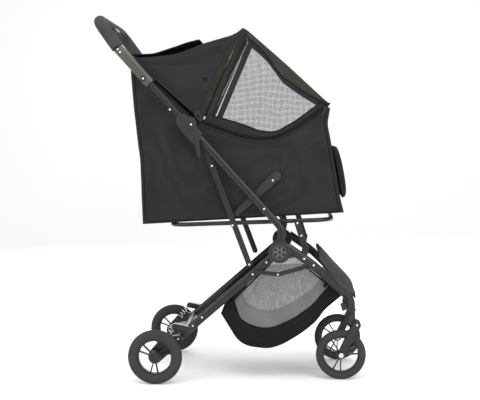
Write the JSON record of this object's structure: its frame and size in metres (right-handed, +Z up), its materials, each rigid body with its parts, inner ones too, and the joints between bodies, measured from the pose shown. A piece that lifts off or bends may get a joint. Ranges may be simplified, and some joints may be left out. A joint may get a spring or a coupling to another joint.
{
  "type": "pet stroller",
  "caption": "Folding pet stroller with an oval-tube A-frame, fabric cabin with a zipped mesh canopy, U handle, basket, swivelling front casters and sprung wheels",
  "frame": {"origin": "bottom centre of the bounding box, on the floor", "axes": "+X is the front, +Y the stroller's left, +Z up"},
  "size_m": [0.758, 0.46, 1.0164],
  "materials": {
    "frame": "satin olive-black paint",
    "links": "satin black paint",
    "arms": "satin warm grey",
    "grip": "matt foam skin",
    "housings": "fine-grained moulded",
    "rims": "satin moulded",
    "tyres": "matt foam rubber",
    "springs": "bright wire",
    "wires": "plain wire",
    "cabin_cloth": "plain-weave charcoal canvas",
    "mesh_cloth": "open grey mesh",
    "panel_cloth": "woven dark grey"
  },
  "bodies": {
    "frame": {"push_tube_right": "frame", "push_tube_left": "frame", "hub_right": "housings", "hub_left": "housings", "front_leg_right": "frame", "front_leg_left": "frame", "front_crossbar": "frame", "basket": "mesh_cloth", "foot_panel": "panel_cloth"},
    "rear_legs": {"rear_leg_right": "frame", "rear_leg_left": "frame", "rear_axle": "frame", "spring_right": "springs", "spring_left": "springs"},
    "struts": {"strut_right": "links", "strut_left": "links"},
    "seat": {"seat_frame": "frame", "side_stay_right": "housings", "side_stay_left": "housings", "cabin_tub": "cabin_cloth", "seat_pad": "cabin_cloth", "front_pocket": "cabin_cloth", "canopy_rear": "cabin_cloth", "rear_flap": "cabin_cloth"},
    "front_links": {"front_link_right": "links", "front_link_left": "links"},
    "knee_rears": {"knee_rear_right": "links", "knee_rear_left": "links"},
    "knee_fronts": {"knee_front_right": "links", "knee_front_left": "links"},
    "handle": {"handle_grip": "grip", "handle_arm_right": "arms", "handle_arm_left": "arms", "upper_tube_right": "frame", "upper_tube_left": "frame"},
    "fold_button": {"fold_button": "arms"},
    "brackets": {"slide_bracket_right": "housings", "slide_bracket_left": "housings"},
    "bow": {"bow": "wires"},
    "hoop": {"hoop": "wires", "canopy_front": "mesh_cloth"},
    "brake": {"brake_pedal": "housings"},
    "latch_right": {"latch_lever_right": "housings"},
    "caster_right": {"caster_right": "housings"},
    "fork_right": {"fork_right": "housings"},
    "front_wheel_right": {"front_rim_right": "rims", "front_tyre_right": "tyres"},
    "swing_arm_right": {"swing_arm_right": "housings"},
    "rear_wheel_right": {"rear_rim_right": "rims", "rear_tyre_right": "tyres"},
    "swivel_lock_right": {"swivel_lock_right": "housings"},
    "latch_left": {"latch_lever_left": "housings"},
    "caster_left": {"caster_left": "housings"},
    "fork_left": {"fork_left": "housings"},
    "front_wheel_left": {"front_rim_left": "rims", "front_tyre_left": "tyres"},
    "swing_arm_left": {"swing_arm_left": "housings"},
    "rear_wheel_left": {"rear_rim_left": "rims", "rear_tyre_left": "tyres"},
    "swivel_lock_left": {"swivel_lock_left": "housings"}
  },
  "joints": [
    {"name": "rear_leg_fold", "type": "hinge", "parent": "frame", "child": "rear_legs", "pos_m": [0.138, 0, 0.365], "axis": [0, -1, 0], "range_deg": [0, 50]},
    {"name": "strut_swing", "type": "hinge", "parent": "rear_legs", "child": "struts", "pos_m": [0.054, 0, 0.328], "axis": [0, -1, 0], "range_deg": [-48.7, 0]},
    {"name": "seat_swing", "type": "hinge", "parent": "struts", "child": "seat", "pos_m": [0.008, 0, 0.436], "axis": [0, -1, 0], "range_deg": [0, 15.7]},
    {"name": "front_link_swing", "type": "hinge", "parent": "frame", "child": "front_links", "pos_m": [0.208, 0, 0.374], "axis": [0, -1, 0], "range_deg": [-37.2, 0]},
    {"name": "knee_rear_swing", "type": "hinge", "parent": "rear_legs", "child": "knee_rears", "pos_m": [0.085, 0, 0.306], "axis": [0, -1, 0], "range_deg": [-99.3, 0]},
    {"name": "knee_front_swing", "type": "hinge", "parent": "frame", "child": "knee_fronts", "pos_m": [0.218, 0, 0.325], "axis": [0, -1, 0], "range_deg": [0, 46.6]},
    {"name": "handle_slide", "type": "slide", "parent": "frame", "child": "handle", "axis": [0.6743, 0, -0.7385], "range_m": [0, 0.074]},
    {"name": "bracket_slide", "type": "slide", "parent": "frame", "child": "brackets", "axis": [0.6743, 0, -0.7385], "range_m": [0, 0.074]},
    {"name": "fold_button_press", "type": "slide", "parent": "handle", "child": "fold_button", "axis": [-0.6743, 0, 0.7385], "range_m": [0, 0.003], "stiffness_N_per_m": 600, "springref_m": -0.001},
    {"name": "bow_fold", "type": "hinge", "parent": "seat", "child": "bow", "pos_m": [-0.084, 0, 0.736], "axis": [0, -1, 0], "range_deg": [0, 50], "deforming": ["canopy_rear", "rear_flap"]},
    {"name": "hoop_fold", "type": "hinge", "parent": "bow", "child": "hoop", "pos_m": [-0.084, 0, 0.736], "axis": [0, -1, 0], "range_deg": [0, 58], "deforming": ["canopy_front"]},
    {"name": "brake_press", "type": "hinge", "parent": "rear_legs", "child": "brake", "pos_m": [-0.134, 0, 0.128], "axis": [0, -1, 0], "range_deg": [0, 12], "stiffness_Nm_per_rad": 1.5, "springref_deg": -17.19},
    {"name": "latch_press_right", "type": "hinge", "parent": "brackets", "child": "latch_right", "pos_m": [-0.088, -0.2058, 0.668], "axis": [0, -1, 0], "range_deg": [0, 14], "stiffness_Nm_per_rad": 0.4, "springref_deg": -17.19},
    {"name": "caster_swivel_right", "type": "hinge", "parent": "frame", "child": "caster_right", "pos_m": [0.336, -0.129, 0.17], "axis": [0, 0, 1], "continuous": true},
    {"name": "fork_spring_right", "type": "hinge", "parent": "caster_right", "child": "fork_right", "pos_m": [0.353, -0.129, 0.156], "axis": [0, 1, 0], "range_deg": [0, 8], "stiffness_Nm_per_rad": 20, "springref_deg": -6.88},
    {"name": "front_wheel_spin_right", "type": "hinge", "parent": "fork_right", "child": "front_wheel_right", "pos_m": [0.309, -0.129, 0.07], "axis": [0, 1, 0], "continuous": true},
    {"name": "rear_spring_right", "type": "hinge", "parent": "rear_legs", "child": "swing_arm_right", "pos_m": [-0.143, -0.1875, 0.121], "axis": [0, 1, 0], "range_deg": [0, 8], "stiffness_Nm_per_rad": 25, "springref_deg": -8.02, "deforming": ["spring_right"]},
    {"name": "rear_wheel_spin_right", "type": "hinge", "parent": "swing_arm_right", "child": "rear_wheel_right", "pos_m": [-0.204, -0.216, 0.075], "axis": [0, 1, 0], "continuous": true},
    {"name": "swivel_lock_press_right", "type": "hinge", "parent": "frame", "child": "swivel_lock_right", "pos_m": [0.318, -0.129, 0.213], "axis": [0, 1, 0], "range_deg": [0, 12], "stiffness_Nm_per_rad": 0.3, "springref_deg": -17.19},
    {"name": "latch_press_left", "type": "hinge", "parent": "brackets", "child": "latch_left", "pos_m": [-0.088, 0.2058, 0.668], "axis": [0, -1, 0], "range_deg": [0, 14], "stiffness_Nm_per_rad": 0.4, "springref_deg": -17.19},
    {"name": "caster_swivel_left", "type": "hinge", "parent": "frame", "child": "caster_left", "pos_m": [0.336, 0.129, 0.17], "axis": [0, 0, 1], "continuous": true},
    {"name": "fork_spring_left", "type": "hinge", "parent": "caster_left", "child": "fork_left", "pos_m": [0.353, 0.129, 0.156], "axis": [0, 1, 0], "range_deg": [0, 8], "stiffness_Nm_per_rad": 20, "springref_deg": -6.88},
    {"name": "front_wheel_spin_left", "type": "hinge", "parent": "fork_left", "child": "front_wheel_left", "pos_m": [0.309, 0.129, 0.07], "axis": [0, 1, 0], "continuous": true},
    {"name": "rear_spring_left", "type": "hinge", "parent": "rear_legs", "child": "swing_arm_left", "pos_m": [-0.143, 0.1875, 0.121], "axis": [0, 1, 0], "range_deg": [0, 8], "stiffness_Nm_per_rad": 25, "springref_deg": -8.02, "deforming": ["spring_left"]},
    {"name": "rear_wheel_spin_left", "type": "hinge", "parent": "swing_arm_left", "child": "rear_wheel_left", "pos_m": [-0.204, 0.216, 0.075], "axis": [0, 1, 0], "continuous": true},
    {"name": "swivel_lock_press_left", "type": "hinge", "parent": "frame", "child": "swivel_lock_left", "pos_m": [0.318, 0.129, 0.213], "axis": [0, 1, 0], "range_deg": [0, 12], "stiffness_Nm_per_rad": 0.3, "springref_deg": -17.19}
  ],
  "couplings": [
    {"joint": "strut_swing", "follows": "rear_leg_fold", "ratio": -0.9726},
    {"joint": "seat_swing", "follows": "rear_leg_fold", "ratio": 0.3116},
    {"joint": "front_link_swing", "follows": "rear_leg_fold", "ratio": -0.741},
    {"joint": "knee_rear_swing", "follows": "rear_leg_fold", "ratio": -1.983},
    {"joint": "knee_front_swing", "follows": "rear_leg_fold", "ratio": 0.928},
    {"joint": "handle_slide", "follows": "rear_leg_fold", "m_per_rad": 0.0845},
    {"joint": "bracket_slide", "follows": "rear_leg_fold", "m_per_rad": 0.0845}
  ]
}
